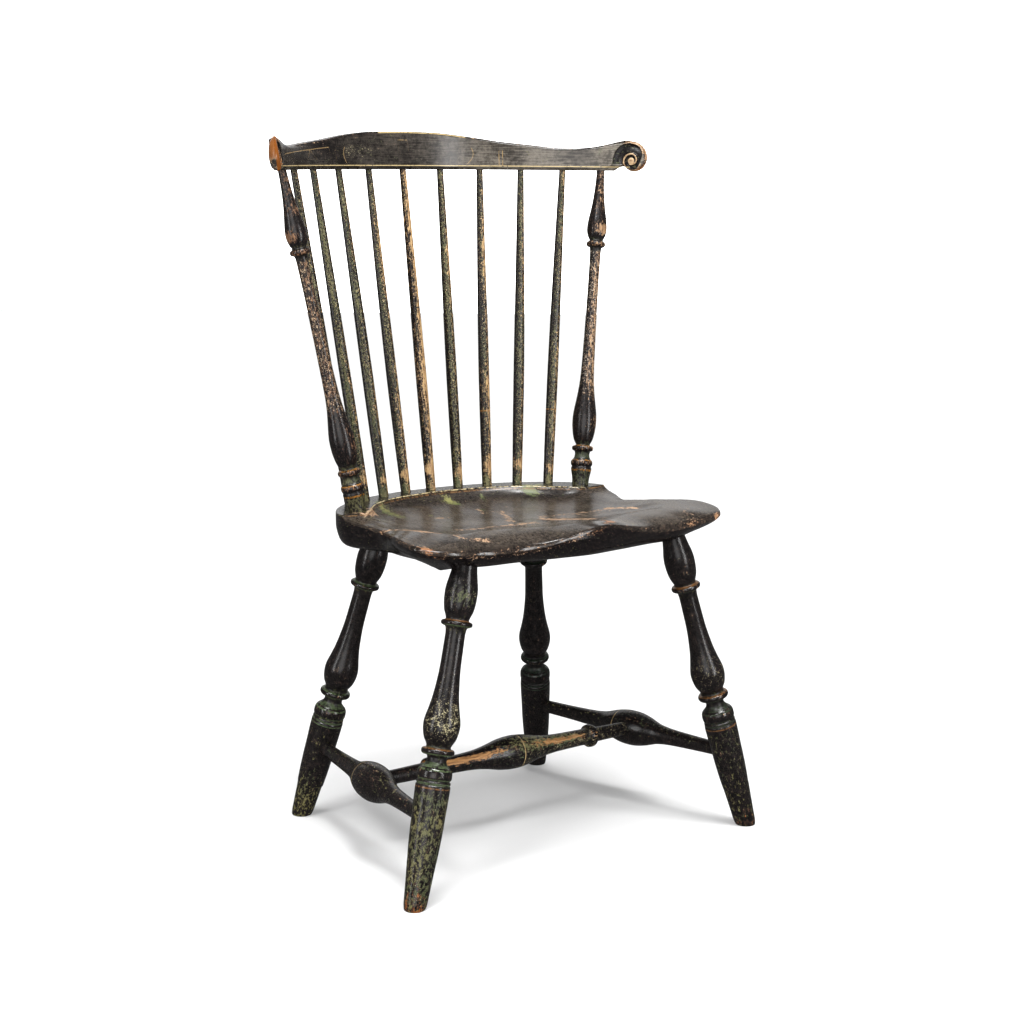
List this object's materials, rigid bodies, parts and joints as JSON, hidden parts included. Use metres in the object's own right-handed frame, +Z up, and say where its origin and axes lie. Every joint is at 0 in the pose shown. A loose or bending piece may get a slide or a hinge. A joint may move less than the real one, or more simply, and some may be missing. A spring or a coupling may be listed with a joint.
{
  "type": "side chair",
  "caption": "Fan-back side chair with a carved plank seat, turned legs and stretchers, slender back spindles and a bowed crest rail with volute ears, in worn dark paint.",
  "frame": {"origin": "on the floor, under the middle of the chair's bounding box", "axes": "+Z up, the sitter faces -Y, +X is the viewer's right when looking at the front"},
  "size_m": [0.6304, 0.4798, 0.9524],
  "materials": {
    "seat_paint": "worn satin brown-black paint over green, ochre line",
    "leg_paint": "worn satin brown-black paint over green, ochre rings",
    "stretcher_paint": "worn satin brown-black paint over green, ochre rings",
    "stile_paint": "worn satin brown-black paint over green, ochre rings",
    "spindle_paint": "worn satin brown-black paint rubbed to bare wood in streaks",
    "crest_paint": "worn satin brown-black paint, ochre pinstripes",
    "pin_wood": "dark rubbed hardwood end grain"
  },
  "bodies": {
    "root": {"seat": "seat_paint", "leg_front_left": "leg_paint", "leg_front_right": "leg_paint", "leg_back_left": "leg_paint", "leg_back_right": "leg_paint", "side_stretcher_left": "stretcher_paint", "side_stretcher_right": "stretcher_paint", "medial_stretcher": "stretcher_paint", "stile_left": "stile_paint", "stile_right": "stile_paint", "spindle_1": "spindle_paint", "spindle_2": "spindle_paint", "spindle_3": "spindle_paint", "spindle_4": "spindle_paint", "spindle_5": "spindle_paint", "spindle_6": "spindle_paint", "spindle_7": "spindle_paint", "spindle_8": "spindle_paint", "spindle_9": "spindle_paint", "crest_rail": "crest_paint", "crest_pins": "pin_wood"}
  },
  "joints": []
}
